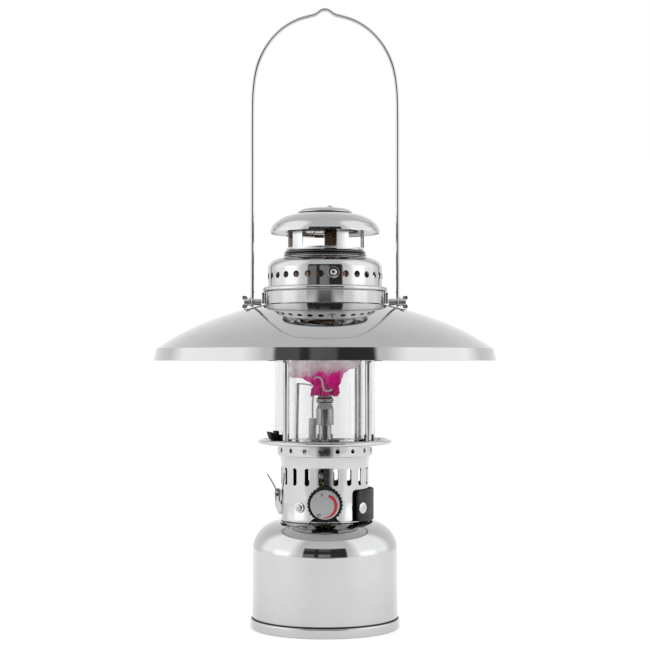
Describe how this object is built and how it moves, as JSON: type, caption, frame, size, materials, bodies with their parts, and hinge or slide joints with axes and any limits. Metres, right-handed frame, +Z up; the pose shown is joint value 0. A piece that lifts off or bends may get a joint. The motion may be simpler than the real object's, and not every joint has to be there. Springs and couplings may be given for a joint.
{
  "type": "mantle lantern",
  "caption": "Chrome gas mantle lantern in pressure-lamp style, with a wide reflector shade, glass globe, vented hood and wire bail handle.",
  "frame": {"origin": "on the lamp's vertical axis, at the underside of its foot ring", "axes": "+Z up through the hood, -Y the front with the valve knob, +X the side with the leather grip"},
  "size_m": [0.307, 0.307, 0.5568],
  "materials": {
    "chrome_plate": "polished nickel-chrome plate on pressed sheet and wire",
    "plain_steel": "satin machined steel",
    "heated_steel": "plated steel, tinted brown by heat",
    "brass": "machined brass",
    "cartridge_paint": "smooth enamel",
    "black_plastic": "moulded, fine matt",
    "dial_metal": "satin, fine brushed",
    "dial_print": "printed ink",
    "grip_leather": "matt, fine grain",
    "white_ceramic": "glazed",
    "clear_glass": "clear, polished",
    "mantle_cloth": "open knitted net, white, dyed magenta where it is gathered",
    "tie_cord": "twisted white string"
  },
  "bodies": {
    "lantern_body": {"foot_ring": "chrome_plate", "base_plate": "plain_steel", "base_cover": "chrome_plate", "gas_cartridge": "cartridge_paint", "valve_mount_plate": "plain_steel", "valve_body": "brass", "mixing_tube": "plain_steel", "burner_sleeve": "plain_steel", "burner_head": "plain_steel", "mantle": "mantle_cloth", "electrode_insulator": "white_ceramic", "spark_electrode": "plain_steel", "ground_rod": "chrome_plate", "guard_rod": "chrome_plate", "piezo_unit": "black_plastic", "ignition_wire": "black_plastic", "igniter_bracket": "chrome_plate", "igniter_pin": "plain_steel", "burner_cage": "chrome_plate", "cage_screw_front": "chrome_plate", "cage_screw_rear": "chrome_plate", "cage_screw_left": "chrome_plate", "leather_grip": "grip_leather", "grip_rivet_front": "chrome_plate", "grip_rivet_rear": "chrome_plate", "gallery_plate": "chrome_plate", "glass_seat_ring": "chrome_plate", "glass_globe": "clear_glass", "globe_clip_left": "black_plastic", "globe_clip_right": "black_plastic", "globe_clip_rear": "black_plastic", "frame_post_front_left": "chrome_plate", "frame_post_front_right": "chrome_plate", "frame_post_rear_right": "chrome_plate", "frame_post_rear_left": "chrome_plate", "frame_top_ring": "plain_steel", "shade": "chrome_plate", "hood_band": "chrome_plate", "hood_drum": "chrome_plate", "hood_screw_front": "chrome_plate", "hood_screw_rear_right": "chrome_plate", "hood_screw_rear_left": "chrome_plate", "inner_chimney": "heated_steel", "vent_collar": "heated_steel", "hood_cap": "chrome_plate", "cap_crown": "chrome_plate", "cap_screw": "chrome_plate", "bail_ear_left": "chrome_plate", "bail_ear_right": "chrome_plate", "pivot_stud_left": "plain_steel", "pivot_stud_right": "plain_steel"},
    "bail_handle": {"bail": "chrome_plate"},
    "valve_control": {"valve_knob": "black_plastic", "knob_face": "dial_metal", "valve_stem": "plain_steel"},
    "igniter": {"igniter_lever": "chrome_plate"},
    "spark_plunger": {"piezo_plunger": "black_plastic"},
    "globe_latch": {"globe_latch_lever": "black_plastic"},
    "left_wing_nut": {"wing_nut_left": "chrome_plate"},
    "right_wing_nut": {"wing_nut_right": "chrome_plate"}
  },
  "joints": [
    {"name": "bail_swing", "type": "hinge", "parent": "lantern_body", "child": "bail_handle", "pos_m": [0, 0, 0.2906], "axis": [1, 0, 0], "range_deg": [-95, 95]},
    {"name": "valve_knob_turn", "type": "hinge", "parent": "lantern_body", "child": "valve_control", "pos_m": [0, -0.048, 0.1134], "axis": [0, -1, 0], "range_deg": [0, 270]},
    {"name": "igniter_press", "type": "hinge", "parent": "lantern_body", "child": "igniter", "pos_m": [-0.0432, 0, 0.1205], "axis": [0, -1, 0], "range_deg": [0, 8], "stiffness_Nm_per_rad": 0.1, "springref_deg": -5.73},
    {"name": "plunger_slide", "type": "slide", "parent": "lantern_body", "child": "spark_plunger", "axis": [1, 0, 0], "range_m": [0, 0.00134]},
    {"name": "globe_latch_swing", "type": "hinge", "parent": "lantern_body", "child": "globe_latch", "pos_m": [-0.04344, -0.0231, 0.1672], "axis": [0.4695, -0.8829, 0], "range_deg": [0, 15], "stiffness_Nm_per_rad": 0.05, "springref_deg": -5.73},
    {"name": "left_wing_nut_turn", "type": "hinge", "parent": "lantern_body", "child": "left_wing_nut", "pos_m": [-0.071, 0, 0.2906], "axis": [-1, 0, 0], "continuous": true},
    {"name": "right_wing_nut_turn", "type": "hinge", "parent": "lantern_body", "child": "right_wing_nut", "pos_m": [0.071, 0, 0.2906], "axis": [1, 0, 0], "continuous": true}
  ],
  "couplings": [
    {"joint": "plunger_slide", "follows": "igniter_press", "m_per_rad": 0.0095}
  ]
}
